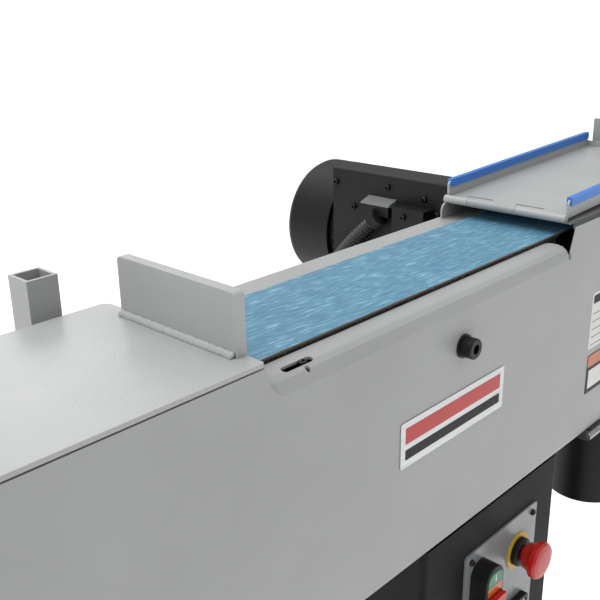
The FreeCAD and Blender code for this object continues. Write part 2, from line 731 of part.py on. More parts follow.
def wheels():
    half = beltWidth / 2 + 0.4
    drive = turned("drive_wheel", driveX, beltCentre, axleZ, "y",
                   wheelProfile(shaftRadius, 30, wheelRadius - 14, wheelRadius, half, 6))
    hole = pocket(drive, "XY_Plane", -8, 8, ((58, 0), 14))
    polar(drive, hole, 5)
    hub = turned("contact_wheel_hub", idlerX, beltCentre, axleZ, "y",
                 wheelProfile(23.5, 32, wheelRadius - 22, wheelRadius - 12, half - 1, 5))
    opening = pocket(hub, "XY_Plane", -7, 7, ((54, 0), 13))
    polar(hub, opening, 6)
    turned("contact_wheel_tyre", idlerX, beltCentre, axleZ, "y",
           rectangle((wheelRadius - 12, wheelRadius), (-half, half)))
    rings = [cut(rod((idlerX, start, axleZ), 14, 23.5, "y"), rod((idlerX, start - 1, axleZ), 16, 10.02, "y"))
             for start in (beltCentre - 44, beltCentre + 30)]
    node("wheel_bearings", group(*rings))


def tensioner():
    turned("idler_axle", idlerX, beltCentre, axleZ, "y",
           [(0, -58), (16, -58), (16, -50), (9.99, -50), (9.99, 58), (14, 58), (14, 83), (0, 83)])
    slideFront = wallFront - 26
    block = box((idlerX - 40, idlerX + 40), (slideFront, wallFront - 1), (axleZ - 28, axleZ + 28))
    node("tension_slide", cut(block, rod((idlerX, slideFront - 1, axleZ), 40, 14.02, "y")))
    rails = []
    for low, high in ((28.3, 42), (-42, -28.3)):
        rails.append(box((idlerX - 80, idlerX + 80), (slideFront, wallFront), (axleZ + low, axleZ + high)))
    rails.append(box((idlerX + 104, idlerX + 112), (slideFront, wallFront), (axleZ - 20, axleZ + 20)))
    rails.append(rod((idlerX + 60, slideFront + 13, axleZ), 45, 4, "x"))
    node("tension_guides", group(*rails))
    node("tension_spring", cut(rod((idlerX + 40.2, slideFront + 13, axleZ), 63.8, 9, "x"),
                               rod((idlerX + 40, slideFront + 13, axleZ), 65, 6, "x")))
    leverZ = axleZ - 40
    arm = join(rod((leverArmX, rearFace + 0.5, leverZ), 12, 14, "y"),
               box((leverArmX - 6, leverArmX + 6), (rearFace + 4, rearFace + 10), (leverZ - 105, leverZ)),
               rod((leverArmX, wallFront - 18, leverZ), 24, 6, "y"))
    node("tension_lever", arm)
    turned("lever_grip", leverArmX, rearFace + 10, leverZ - 98, "y",
           [(0, 0), (6, 0), (6, 4), (13, 9), (15, 16), (13, 23), (7, 27), (0, 28)])
    knob = [(0, -22), (3.95, -22), (3.95, 0.3), (7, 0.3), (7, 6), (16, 8), (17.5, 11), (17.5, 21), (15, 24), (0, 24)]
    turned("tracking_knob", housingLeft, trackingY, trackingZ, "-x", knob)


# ---- motor ------------------------------------------------------------------------------------

def motor():
    body = turned("motor_body", driveX, 0, axleZ, "y",
                  [(22, rearFace), (84, rearFace), (84, rearFace + 10), (70, motorStart - 2), (70, motorStart),
                   (motorRadius, motorStart), (motorRadius, motorEnd), (30, motorEnd), (30, motorEnd - 12),
                   (motorRadius - 8, motorEnd - 12), (motorRadius - 8, motorStart + 12), (22, motorStart + 12)])
    rib = pad(body, "XY_Plane", motorStart + 20, cowlStart - 6,
              rectangle((motorRadius - 1, motorRadius + 4), (-1.2, 1.2)))
    polar(body, rib, 36)
    cowl = turned("motor_cowl", driveX, 0, axleZ, "y",
                  [(motorRadius + 4.4, cowlStart), (cowlRadius, cowlStart), (cowlRadius, cowlEnd - 9),
                   (cowlRadius - 3, cowlEnd - 3), (cowlRadius - 9, cowlEnd), (0, cowlEnd), (0, cowlEnd - 2),
                   (cowlRadius - 10, cowlEnd - 2), (cowlRadius - 4, cowlEnd - 6), (cowlRadius - 2, cowlEnd - 10),
                   (cowlRadius - 2, cowlStart + 12), (motorRadius + 4.4, cowlStart + 12)])
    for radius, count in ((26, 8), (44, 14), (62, 20)):
        hole = pocket(cowl, "XY_Plane", cowlEnd - 3, cowlEnd + 1, ((radius, 0), 5.5))
        polar(cowl, hole, count)
    turned("motor_shaft", driveX, 0, axleZ, "y",
           [(0, beltFront - 9), (24, beltFront - 9), (24, beltFront - 4), (shaftRadius - 0.02, beltFront - 4),
            (shaftRadius - 0.02, wallFront - 12),
            (18, wallFront - 12), (18, motorEnd - 2), (9, motorEnd - 2), (9, cowlEnd - 12), (0, cowlEnd - 12)])
    fan = turned("motor_fan", driveX, cowlStart + 22, axleZ, "y", [(9, 0), (22, 0), (22, 30), (9, 30)])
    blade = pad(fan, "XY_Plane", 4, 28, rectangle((20, 70), (-1.5, 1.5)))
    polar(fan, blade, 8)


def sidePlate():
    # A folded guard beside the motor carries the terminal box, the conduit and a small cover.
    body = newBody("motor_side_plate")
    low = axleZ - 60
    pad(body, "YZ_Plane", sidePlateX, sidePlateX + 3, rectangle((rearFace, 287), (low, sidePlateTop)))
    pad(body, "XZ_Plane", rearFace + 8, 287,
        rectangle((sidePlateX, sidePlateX + 46), (sidePlateTop - 3, sidePlateTop)))
    fillet(body, 3, lambda spot, edge: along(edge, "y") and near(spot.x, sidePlateX) and near(spot.z, sidePlateTop))
    pad(body, "XZ_Plane", rearFace, rearFace + 3, rectangle((sidePlateX - 22, sidePlateX), (low, axleZ + 90)))
    # y and z of each screw head on the plate, and one on the junction cover
    spots = ((281, 930), (250, 901), (194, 934), (137, 927), (117, 910))
    heads = [rod((sidePlateX - 4, y, z), 4, 4, "x") for y, z in spots]
    heads.append(rod((sidePlateX - 24, 154, 905), 4, 4, "x"))
    node("side_plate_screws", group(*heads))
    lid = newBody("terminal_lid")
    pad(lid, "XZ_Plane", 180, 225,
        [(sidePlateX - 17, 912.5), (sidePlateX, 912.5), (sidePlateX, 920.1), (sidePlateX - 17, 914.3)])
    node("junction_cover", join(box((sidePlateX - 20, sidePlateX), (124, 172), (872, 915)),
                                box((sidePlateX - 23, sidePlateX), (122, 174), (915, 917))))


def tubeAlong(route, radius):
    # A round tube along straight runs joined by tangent arcs.
    points = [Vector(*point) for point in route]
    edges = []
    start = points[0]
    total = 0.0
    for index in range(1, len(points) - 1):
        before = points[index - 1] - points[index]
        after = points[index + 1] - points[index]
        turn = math.pi - before.getAngle(after)
        shorter = min(before.Length, after.Length)
        back = 0.45 * shorter
        bend = back / math.tan(turn / 2)
        print(f"conduit arc radius {bend:.1f} mm")
        inDirection = Vector(before).normalize()
        outDirection = Vector(after).normalize()
        entry = points[index] + inDirection * back
        leave = points[index] + outDirection * back
        half = (inDirection + outDirection).normalize()
        toCentre = bend / math.cos(turn / 2)
        middle = points[index] + half * (toCentre - bend)
        edges.append(Part.LineSegment(start, entry).toShape())
        edges.append(Part.Arc(entry, middle, leave).toShape())
        total += (entry - start).Length + bend * turn
        start = leave
    edges.append(Part.LineSegment(start, points[-1]).toShape())
    total += (points[-1] - start).Length
    path = Part.Wire(edges)
    direction = (points[1] - points[0]).normalize()
    section = Part.Wire([Part.makeCircle(radius, points[0], direction)])
    tube = path.makePipeShell([section], True, False)
    expected = math.pi * radius * radius * total
    if abs(tube.Volume - expected) > 0.01 * expected:
        raise RuntimeError("the conduit's volume differs from its section times its length")
    return tube


def fitting(tip, beyond, length, radius):
    # A round connector on the line of the conduit, from the conduit's end outwards.
    away = (Vector(*tip) - Vector(*beyond)).normalize()
    item = doc.addObject("Part::Cylinder", "fitting")
    bind(item, "Radius", radius)
    bind(item, "Height", length)
    item.Placement = FreeCAD.Placement(Vector(*tip), FreeCAD.Rotation(Vector(0, 0, 1), away))
    bind(item, "Placement.Base.x", sidePlateX - 15)
    return item


def conduit():
    # The conduit is drawn in the plane X = 0 and placed beside the plate.
    route = [(0, 206, 890), (0, 240, 861), (0, 266, 829)]
    item = doc.addObject("Part::Feature", "conduit")
    item.Shape = tubeAlong(route, dims.conduitRadius)
    node("conduit", place(item, sidePlateX - 15, 0, 0))
    upper = box((sidePlateX - 16, sidePlateX), (181, 224), (899, 912.5))
    node("terminal_box", join(upper, fitting(route[0], route[1], 14, conduitRadius + 1.5)))
    lower = box((sidePlateX - 28, sidePlateX), (266, 287), (792, 818))
    node("conduit_block", join(lower, fitting(route[-1], route[-2], 16, conduitRadius + 2.5)))


# ---- dust outlet ------------------------------------------------------------------------------

def dustOutlet():
    turned("dust_spigot", spigotX, beltCentre, 0, "z",
           [(spigotRadius - 2, spigotBottom), (spigotRadius, spigotBottom), (spigotRadius, housingBottom - 2),
            (spigotRadius + 12, housingBottom - 2), (spigotRadius + 12, housingBottom),
            (spigotRadius - 2, housingBottom)])


basePlate()
column()
columnFittings()
controlPlate()
twinSwitch()
emergencyStop()
selectorSwitch()
rearWall()
endPlates()
leftCover()
workStop()
accessoryPost()
hood()
lidParts()
frontDoor()
doorFittings()
doorHinges()
beltAndPlaten()
wheels()
tensioner()
motor()
sidePlate()
conduit()
dustOutlet()
doc.recompute()

faults = [item.Name for item in doc.Objects if "Invalid" in item.State or "Error" in item.State]
if faults:
    raise RuntimeError(f"failed objects: {faults}")
for name, item in parts.items():
    if item.Shape.isNull() or not item.Shape.isValid():
        raise RuntimeError(f"{name} has no valid shape")

os.makedirs("parts", exist_ok=True)
for name, item in parts.items():
    item.Shape.exportStep(f"parts/{name}.step")
print(f"{len(parts)} parts written")
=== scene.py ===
import json
import math

import bmesh
import bpy
from mathutils import Matrix, Vector


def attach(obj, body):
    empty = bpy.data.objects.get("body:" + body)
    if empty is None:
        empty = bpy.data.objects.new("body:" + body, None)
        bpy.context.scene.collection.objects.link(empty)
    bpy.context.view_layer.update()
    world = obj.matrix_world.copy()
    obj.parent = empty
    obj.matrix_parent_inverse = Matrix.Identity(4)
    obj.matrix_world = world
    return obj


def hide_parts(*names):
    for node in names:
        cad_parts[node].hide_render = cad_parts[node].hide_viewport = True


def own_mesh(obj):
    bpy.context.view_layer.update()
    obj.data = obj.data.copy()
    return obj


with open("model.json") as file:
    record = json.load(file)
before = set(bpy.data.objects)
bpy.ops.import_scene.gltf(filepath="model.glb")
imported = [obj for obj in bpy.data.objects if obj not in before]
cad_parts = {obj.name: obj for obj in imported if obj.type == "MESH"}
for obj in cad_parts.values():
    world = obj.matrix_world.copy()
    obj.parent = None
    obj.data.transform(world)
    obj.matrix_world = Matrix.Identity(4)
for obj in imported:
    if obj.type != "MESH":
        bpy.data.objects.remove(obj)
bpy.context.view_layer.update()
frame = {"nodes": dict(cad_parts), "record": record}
nodes = frame["nodes"]
scene = bpy.context.scene
print("frame loaded,", len(nodes), "pieces")


def linear(hexColour):
    # sRGB hex to the linear values that the shaders want
    levels = [int(hexColour[i:i + 2], 16) / 255 for i in (1, 3, 5)]
    return [c / 12.92 if c <= 0.04045 else ((c + 0.055) / 1.055) ** 2.4 for c in levels] + [1.0]


def addNode(tree, kind, links=(), stops=(), **settings):
    # one node: settings are attributes, links are (input, value or output socket), stops fill a colour ramp
    node = tree.nodes.new(kind)
    for name, value in settings.items():
        setattr(node, name, value)
    for extra in stops[2:]:
        node.color_ramp.elements.new(0.5)
    for index, (position, colour) in enumerate(stops):
        node.color_ramp.elements[index].position = position
        node.color_ramp.elements[index].color = linear(colour)
    for name, value in links:
        if isinstance(value, bpy.types.NodeSocket):
            tree.links.new(value, node.inputs[name])
        else:
            node.inputs[name].default_value = value
    return node


def startMaterial(name, roughness, metallic=0.0, ior=1.5):
    material = bpy.data.materials.new(name)
    material.use_nodes = True
    tree = material.node_tree
    shader = tree.nodes["Principled BSDF"]
    shader.inputs["Roughness"].default_value = roughness
    shader.inputs["Metallic"].default_value = metallic
    if metallic == 0.0:
        shader.inputs["IOR"].default_value = ior
    place = addNode(tree, "ShaderNodeTexCoord").outputs["Object"]
    return material, tree, shader, place


def coatedMetal(name, colour, shade, roughness, peelMm, peelDepthMm, mottleMm=90, glossPatchMm=35, ior=1.5):
    # Sprayed coat on steel: one even colour, small orange peel in the gloss, faint clouding.
    material, tree, shader, place = startMaterial(name, roughness, 0.0, ior)
    clouds = addNode(tree, "ShaderNodeTexNoise",
                     [("Vector", place), ("Scale", 1000 / mottleMm), ("Detail", 3.0),
                      ("Roughness", 0.5)]).outputs["Fac"]
    tone = addNode(tree, "ShaderNodeValToRGB", [("Fac", clouds)], stops=[(0.3, shade), (0.7, colour)])
    tree.links.new(tone.outputs["Color"], shader.inputs["Base Color"])
    peel = addNode(tree, "ShaderNodeTexNoise",
                   [("Vector", place), ("Scale", 1000 / peelMm), ("Detail", 2.5),
                    ("Roughness", 0.6)]).outputs["Fac"]
    bump = addNode(tree, "ShaderNodeBump",
                   [("Height", peel), ("Strength", 0.9), ("Distance", peelDepthMm / 1000)])
    tree.links.new(bump.outputs["Normal"], shader.inputs["Normal"])
    patches = addNode(tree, "ShaderNodeTexNoise",
                      [("Vector", place), ("Scale", 1000 / glossPatchMm), ("Detail", 4.0),
                       ("Roughness", 0.5)]).outputs["Fac"]
    gloss = addNode(tree, "ShaderNodeMapRange",
                    [("Value", patches), ("To Min", roughness - 0.05), ("To Max", roughness + 0.06)])
    tree.links.new(gloss.outputs["Result"], shader.inputs["Roughness"])
    return material


def machinedSteel(name, colour, shade, roughness, grain, lineMm=1.0):
    # Cut or ground steel: fine tool lines along one way, so the shine is drawn out across them.
    material, tree, shader, place = startMaterial(name, roughness, 1.0)
    turned = addNode(tree, "ShaderNodeMapping", [("Vector", place), ("Scale", grain)]).outputs["Vector"]
    lines = addNode(tree, "ShaderNodeTexNoise",
                    [("Vector", turned), ("Scale", 1000 / lineMm), ("Detail", 3.0),
                     ("Roughness", 0.65)]).outputs["Fac"]
    tone = addNode(tree, "ShaderNodeValToRGB", [("Fac", lines)], stops=[(0.35, shade), (0.65, colour)])
    tree.links.new(tone.outputs["Color"], shader.inputs["Base Color"])
    bump = addNode(tree, "ShaderNodeBump", [("Height", lines), ("Strength", 0.35), ("Distance", 0.00005)])
    tree.links.new(bump.outputs["Normal"], shader.inputs["Normal"])
    return material


def mouldedPlastic(name, colour, shade, roughness, sparkMm=0.5, depthMm=0.03, flowMm=25, ior=1.49):
    # Injection-moulded plastic: coloured through, with the fine spark-eroded texture of its mould.
    material, tree, shader, place = startMaterial(name, roughness, 0.0, ior)
    flow = addNode(tree, "ShaderNodeTexNoise",
                   [("Vector", place), ("Scale", 1000 / flowMm), ("Detail", 3.0),
                    ("Roughness", 0.5)]).outputs["Fac"]
    tone = addNode(tree, "ShaderNodeValToRGB", [("Fac", flow)], stops=[(0.3, shade), (0.7, colour)])
    tree.links.new(tone.outputs["Color"], shader.inputs["Base Color"])
    sparks = addNode(tree, "ShaderNodeTexNoise",
                     [("Vector", place), ("Scale", 1000 / sparkMm), ("Detail", 2.0),
                      ("Roughness", 0.5)]).outputs["Fac"]
    bump = addNode(tree, "ShaderNodeBump",
                   [("Height", sparks), ("Strength", 0.6), ("Distance", depthMm / 1000)])
    tree.links.new(bump.outputs["Normal"], shader.inputs["Normal"])
    return material

# the blue stops go from painted shade in the wave hollows to painted highlight on the crests
beltCloth = {"waveMm": 2.4, "waveStretch": 6.0, "leanDegrees": -4, "gritMm": 0.9, "bendMm": 28,
             "gritShare": 0.35, "bendShare": 0.25, "middle": -0.05, "halfWidth": 0.0499, "cutEdge": "#6B5B47",
             "crestLitBlues": [(0.5, "#3E6E8A"), (0.75, "#4A7992"), (0.95, "#5B8AA0"), (1.0, "#76A0B0")]}


def ceramicBelt():
    # Blue ceramic abrasive on cloth: grains lie in low waves along the belt, and the cut edges show tan cloth.
    # The blue follows the wave height: raised grains and crests are painted lighter as painted highlight,
    # hollows darker as painted shade.
    material, tree, shader, place = startMaterial("ceramicBeltCloth", 0.62)
    bent = addNode(tree, "ShaderNodeTexNoise",
                   [("Vector", place), ("Scale", 1000 / beltCloth["bendMm"]), ("Detail", 1.0),
                    ("Roughness", 0.5)]).outputs["Fac"]
    turned = addNode(tree, "ShaderNodeMapping",
                     [("Vector", place), ("Rotation", (0, 0, math.radians(beltCloth["leanDegrees"]))),
                      ("Scale", (beltCloth["waveStretch"], 1.0, 1.0))], vector_type="TEXTURE").outputs["Vector"]
    waves = addNode(tree, "ShaderNodeTexNoise", [("Vector", turned), ("Scale", 1000 / beltCloth["waveMm"]),
                    ("Detail", 1.0), ("Distortion", 0.5)]).outputs["Fac"]
    # the grains are drawn twice their size so that they show
    grit = addNode(tree, "ShaderNodeTexNoise",
                   [("Vector", place), ("Scale", 1000 / beltCloth["gritMm"]), ("Detail", 2.0),
                    ("Roughness", 0.7)]).outputs["Fac"]
    height = addNode(tree, "ShaderNodeMath", [(0, grit), (1, beltCloth["gritShare"]), (2, waves)],
                     operation="MULTIPLY_ADD").outputs[0]
    height = addNode(tree, "ShaderNodeMath", [(0, bent), (1, beltCloth["bendShare"]), (2, height)],
                     operation="MULTIPLY_ADD").outputs[0]
    # painted highlight on the crests and painted shade in the hollows, laid over the belt's own blue
    blue = addNode(tree, "ShaderNodeValToRGB", [("Fac", height)], stops=beltCloth["crestLitBlues"]).outputs["Color"]
    across = addNode(tree, "ShaderNodeSeparateXYZ", [("Vector", place)]).outputs["Y"]
    off = addNode(tree, "ShaderNodeMath", [(0, across), (1, beltCloth["middle"])],
                  operation="SUBTRACT").outputs[0]
    off = addNode(tree, "ShaderNodeMath", [(0, off)], operation="ABSOLUTE").outputs[0]
    edge = addNode(tree, "ShaderNodeMath", [(0, off), (1, beltCloth["halfWidth"])],
                   operation="GREATER_THAN").outputs[0]
    mixed = addNode(tree, "ShaderNodeMix", [(0, edge), (6, blue), (7, linear(beltCloth["cutEdge"]))],
                    data_type="RGBA")
    tree.links.new(mixed.outputs[2], shader.inputs["Base Color"])
    bump = addNode(tree, "ShaderNodeBump", [("Height", height), ("Strength", 0.8), ("Distance", 0.0005)])
    tree.links.new(bump.outputs["Normal"], shader.inputs["Normal"])
    return material


def graphiteCanvas():
    # Canvas with a graphite coat: near black, dull silver where worn, with pale specks of swarf.
    material, tree, shader, place = startMaterial("graphiteCanvas", 0.6)
    speckMm = 1.6
    specks = addNode(tree, "ShaderNodeTexNoise",
                     [("Vector", place), ("Scale", 1000 / speckMm), ("Detail", 2.0),
                      ("Roughness", 0.8)]).outputs["Fac"]
    tone = addNode(tree, "ShaderNodeValToRGB", [("Fac", specks)],
                   stops=[(0.42, "#1B1B1C"), (0.56, "#3A3A3B"), (0.68, "#8E8C86")])
    tree.links.new(tone.outputs["Color"], shader.inputs["Base Color"])
    bump = addNode(tree, "ShaderNodeBump", [("Height", specks), ("Strength", 0.7), ("Distance", 0.0003)])
    tree.links.new(bump.outputs["Normal"], shader.inputs["Normal"])
    return material


finishes = {
    "dark_paint": coatedMetal("texturedBlackCoat", "#0F1011", "#0C0D0E", 0.6, 1.2, 0.10, ior=1.25),
    "grey_paint": coatedMetal("lightGreyCoat", "#979998", "#929493", 0.42, 2.2, 0.05),
    "cover_paint": coatedMetal("coverGreyCoat", "#A0A2A1", "#9A9C9B", 0.33, 1.7, 0.22),
    "post_paint": coatedMetal("postGreyCoat", "#9D9F9E", "#979998", 0.45, 1.5, 0.06),
    "motor_paint": coatedMetal("motorEnamel", "#121315", "#0E0F10", 0.5, 1.8, 0.08, ior=1.33),
    "panel_plate": coatedMetal("silverGreyPlate", "#7B7E80", "#727577", 0.26, 2.4, 0.02),
    "blue_trim": mouldedPlastic("blueVinylTrim", "#1E70C4", "#1B69B9", 0.35),
    "nameplate": machinedSteel("brushedPlate", "#C9CACB", "#AEB0B2", 0.34, (0.02, 1.0, 2.2)),
    "black_oxide": machinedSteel("blackOxideSteel", "#3A3A3C", "#2C2C2E", 0.42, (1.0, 1.0, 1.0)),
    "zinc_screws": machinedSteel("zincPlate", "#B8B8B2", "#96968F", 0.34, (1.0, 1.0, 1.0)),
    "bare_steel": machinedSteel("groundSteel", "#A9AAAB", "#8A8B8D", 0.38, (0.15, 1.5, 1.5)),
    "cast_wheel": machinedSteel("turnedAluminium", "#C9CACC", "#AEB0B3", 0.4, (0.4, 2.5, 0.4)),
    "wheel_rubber": mouldedPlastic("groundRubber", "#2A2A2A", "#222222", 0.75, 0.8, 0.08),
    "belt": ceramicBelt(),
    "graphite": graphiteCanvas(),
    "black_plastic": mouldedPlastic("blackAbs", "#0C0D0D", "#090A0A", 0.45, ior=1.33),
    "grey_plastic": mouldedPlastic("greyPolycarbonate", "#CFCFCC", "#C6C6C3", 0.4),
    "green_button": mouldedPlastic("greenPolycarbonate", "#0F7047", "#0C633E", 0.3, 0.8, 0.01),
    "red_button": mouldedPlastic("redPolycarbonate", "#B01412", "#A2110F", 0.3, 0.8, 0.01),
    "amber_lens": mouldedPlastic("amberAcrylic", "#B4521C", "#A64A18", 0.18, 1.0, 0.01),
    "yellow_ring": mouldedPlastic("yellowAbs", "#C9A62A", "#BD9A22", 0.45),
    "mid_grey_paint": coatedMetal("midGreyCoat", "#6E7070", "#686A6A", 0.4, 2.0, 0.05),
    "conduit_plastic": mouldedPlastic("blackNylon", "#202224", "#191B1D", 0.36),
}
for part in frame["record"]["subparts"]:
    mesh = nodes[part["node"]].data
    mesh.materials.clear()
    mesh.materials.append(finishes[part["material_slot"]])
print("finishes set:", len(finishes))


def finishPiece(mesh, name, body, slotName, standsFor=(), smooth=True):
    # a finished mesh becomes a piece of the object that moves with one body
    piece = bpy.data.objects.new(name, mesh)
    scene.collection.objects.link(piece)
    if smooth:
        mesh.shade_smooth()
    mesh.materials.clear()
    mesh.materials.append(finishes[slotName])
    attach(piece, body)
    if standsFor:
        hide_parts(*standsFor)
    return piece


def toMesh(bm, name):
    mesh = bpy.data.meshes.new(name)
    bm.to_mesh(mesh)
    bm.free()
    return mesh


def socketHead(radius, height, across):
    # a domed screw head with a six-sided socket
    turns = 36
    bm = bmesh.new()
    rings = []
    for level, out, hexagon in ((0.35, across, True), (1.0, across, True), (0.94, 0.78 * radius, False),
                                (0.72, 0.95 * radius, False), (0.4, radius, False), (0.0, radius, False)):
        ring = []
        for i in range(turns):
            angle = 2 * math.pi * i / turns
            reach = out / math.cos((angle + math.pi / 6) % (math.pi / 3) - math.pi / 6) if hexagon else out
            ring.append(bm.verts.new((reach * math.cos(angle), reach * math.sin(angle), level * height)))
        rings.append(ring)
    for first, second in zip(rings, rings[1:]):
        for i in range(turns):
            j = (i + 1) % turns
            bm.faces.new((first[i], first[j], second[j], second[i]))
    bm.faces.new(rings[0])
    bm.faces.new(rings[-1])
    bmesh.ops.recalc_face_normals(bm, faces=bm.faces)
    return toMesh(bm, "head")


def newTree(name, inputs):
    # an empty Geometry Nodes tree with its named inputs
    tree = bpy.data.node_groups.new(name, "GeometryNodeTree")
    tree.interface.new_socket("Geometry", in_out="INPUT", socket_type="NodeSocketGeometry")
    tree.interface.new_socket("Geometry", in_out="OUTPUT", socket_type="NodeSocketGeometry")
    for label, kind, value in inputs:
        socket = tree.interface.new_socket(label, in_out="INPUT", socket_type=kind)
        if value is not None:
            socket.default_value = value
    given = addNode(tree, "NodeGroupInput").outputs
    return tree, given


def closeTree(tree, geometry, material):
    # every tree ends in Realize Instances and Set Material
    real = addNode(tree, "GeometryNodeRealizeInstances", [("Geometry", geometry)]).outputs[0]
    dressed = addNode(tree, "GeometryNodeSetMaterial", [("Geometry", real), ("Material", material)]).outputs[0]
    addNode(tree, "NodeGroupOutput", [("Geometry", dressed)])


def grow(source, tree, values):
    # runs a tree on an object and gives the result as a plain mesh
    scene.collection.objects.link(source)
    modifier = source.modifiers.new("grow", "NODES")
    modifier.node_group = tree
    for item in tree.interface.items_tree:
        if item.item_type == "SOCKET" and item.in_out == "INPUT" and item.name in values:
            modifier[item.identifier] = values[item.name]
    graph = bpy.context.evaluated_depsgraph_get()
    mesh = bpy.data.meshes.new_from_object(source.evaluated_get(graph))
    bpy.data.objects.remove(source)
    return mesh


def pointCloud(name, spots):
    mesh = bpy.data.meshes.new(name)
    mesh.from_pydata([Vector(spot) / 1000 for spot in spots], [], [])
    return bpy.data.objects.new(name, mesh)

fullTurn = 6.28  # in radians
scatterTree, given = newTree("scatterHeads", [
    ("Head", "NodeSocketObject", None), ("Turn", "NodeSocketVector", None), ("Seed", "NodeSocketInt", 3),
    ("Finish", "NodeSocketMaterial", None)])
headShape = addNode(scatterTree, "GeometryNodeObjectInfo", [("Object", given["Head"])]).outputs["Geometry"]
anyTurn = addNode(scatterTree, "FunctionNodeRandomValue", [(2, 0.0), (3, fullTurn), ("Seed", given["Seed"])],
                  data_type="FLOAT").outputs[1]
ownTurn = addNode(scatterTree, "ShaderNodeCombineXYZ", [("Z", anyTurn)]).outputs[0]
points = addNode(scatterTree, "GeometryNodeMeshToPoints", [("Mesh", given["Geometry"])]).outputs[0]
heads = addNode(scatterTree, "GeometryNodeInstanceOnPoints", [("Points", points), ("Instance", headShape),
                ("Rotation", given["Turn"])]).outputs[0]
heads = addNode(scatterTree, "GeometryNodeRotateInstances",
                [("Instances", heads), ("Rotation", ownTurn)]).outputs[0]
closeTree(scatterTree, heads, given["Finish"])

facing = {"front": (math.radians(90), 0, 0), "left": (0, math.radians(-90), 0), "up": (0, 0, 0)}
# spots are in mm, at the foot of each head
headGroups = {
    "panelScrewHeads": {"body": "frame", "slot": "black_oxide", "facing": "front", "radius": 3.2, "height": 3.1,
                        "socket": 1.4, "standsFor": ["panel_screws"],
                        "spots": [(x, -122, z) for x in (-44, 68) for z in (670, 513)]},
    "sidePlateScrewHeads": {"body": "frame", "slot": "black_oxide", "facing": "left", "radius": 4.0,
                            "height": 3.9, "socket": 1.9, "standsFor": ["side_plate_screws"],
                            "spots": [(228, 281, 930), (228, 250, 901), (228, 194, 934), (228, 137, 927),
                                      (228, 117, 910), (208, 154, 905)]},
    "ledgeScrewHead": {"body": "door", "slot": "black_plastic", "facing": "up", "radius": 3.6, "height": 1.6,
                       "socket": 1.5, "standsFor": [], "spots": [(-259, -114, 943.9)]},
    "hingeLeafScrews": {"body": "frame", "slot": "zinc_screws", "facing": "up", "radius": 3.0, "height": 1.2,
                        "socket": 1.2, "standsFor": [], "spots": [(130, y, 963.4) for y in (-46, -29, -12)]},
}
for name, group in headGroups.items():
    head = bpy.data.objects.new("headShape", socketHead(group["radius"] / 1000, group["height"] / 1000,
                                                        group["socket"] / 1000))
    scene.collection.objects.link(head)
    mesh = grow(pointCloud(name, group["spots"]), scatterTree,
                {"Head": head, "Turn": facing[group["facing"]], "Seed": 3, "Finish": finishes[group["slot"]]})
    bpy.data.objects.remove(head)
    finishPiece(mesh, name, group["body"], group["slot"], group["standsFor"], smooth=False)
print("screw heads placed")


def thinPlate(name, left, right, bottom, top, front, depth, corner):
    # an upright plate with round corners, sizes in mm, seen from the front
    outline = []
    for cx, cz, start in ((right - corner, top - corner, 0), (left + corner, top - corner, 90),
                          (left + corner, bottom + corner, 180), (right - corner, bottom + corner, 270)):
        for step in range(7):
            angle = math.radians(start + step * 15)
            outline.append((cx + corner * math.cos(angle), cz + corner * math.sin(angle)))
    bm = bmesh.new()
    near = [bm.verts.new((x / 1000, front / 1000, z / 1000)) for x, z in outline]
    far = [bm.verts.new((x / 1000, (front + depth) / 1000, z / 1000)) for x, z in outline]
    bm.faces.new(near)
    bm.faces.new(far)
    for i in range(len(near)):
        j = (i + 1) % len(near)
        bm.faces.new((near[i], near[j], far[j], far[i]))
    bmesh.ops.recalc_face_normals(bm, faces=bm.faces)
    return toMesh(bm, name)

# each plate: left, right, bottom, top, front, depth, corner in mm, then body and slot
plates = {
    "ratingLabel": (153, 262, 822, 884, -125.25, 0.25, 3, "door", "grey_plastic"),
    "ratingBand": (156, 259, 872, 881, -125.33, 0.1, 1, "door", "motor_paint"),
    "warningLabel": (155, 238, 771, 815, -125.25, 0.25, 2, "door", "black_plastic"),
    "warningBand": (156, 237, 801, 814, -125.33, 0.1, 1, "door", "amber_lens"),
    "warningPanel": (160, 196, 776, 797, -125.33, 0.1, 1, "door", "grey_plastic"),
    "namePlateBand": (-157, -20, 829, 838, -125.86, 0.08, 1, "door", "motor_paint"),
    "namePlateField": (-157, -20, 843, 857, -125.86, 0.08, 1, "door", "red_button"),
    "selectorDial": (20.2, 55.8, 540.2, 575.8, -127.95, 0.45, 1, "frame", "grey_plastic"),
    "selectorMark": (36.6, 39.4, 571.5, 575.0, -128.0, 0.1, 0.3, "frame", "black_plastic"),
    "selectorMarkLeft": (23.0, 27.5, 568.4, 571.0, -128.0, 0.1, 0.3, "frame", "black_plastic"),
    "selectorMarkRight": (48.5, 53.0, 568.4, 571.0, -128.0, 0.1, 0.3, "frame", "black_plastic"),
    "stopMark": (-32.2, -25.8, 619, 628, -146.06, 0.1, 3.1, "stop_button", "grey_plastic"),
    "startMark": (-29.8, -28.2, 650.5, 657.5, -140.66, 0.1, 0.3, "start_button", "grey_plastic"),
}
ratingRows = {"count": 5, "first": 826, "step": 8.6, "thick": 0.7}
for row in range(ratingRows["count"]):
    low = ratingRows["first"] + row * ratingRows["step"]
    plates[f"ratingRow{row}"] = (157, 258, low, low + ratingRows["thick"], -125.33, 0.1, 0.3, "door",
                                 "motor_paint")
for name, (*sizes, body, slotName) in plates.items():
    finishPiece(thinPlate(name, *sizes), name, body, slotName, smooth=False)
print("plates fitted:", len(plates))

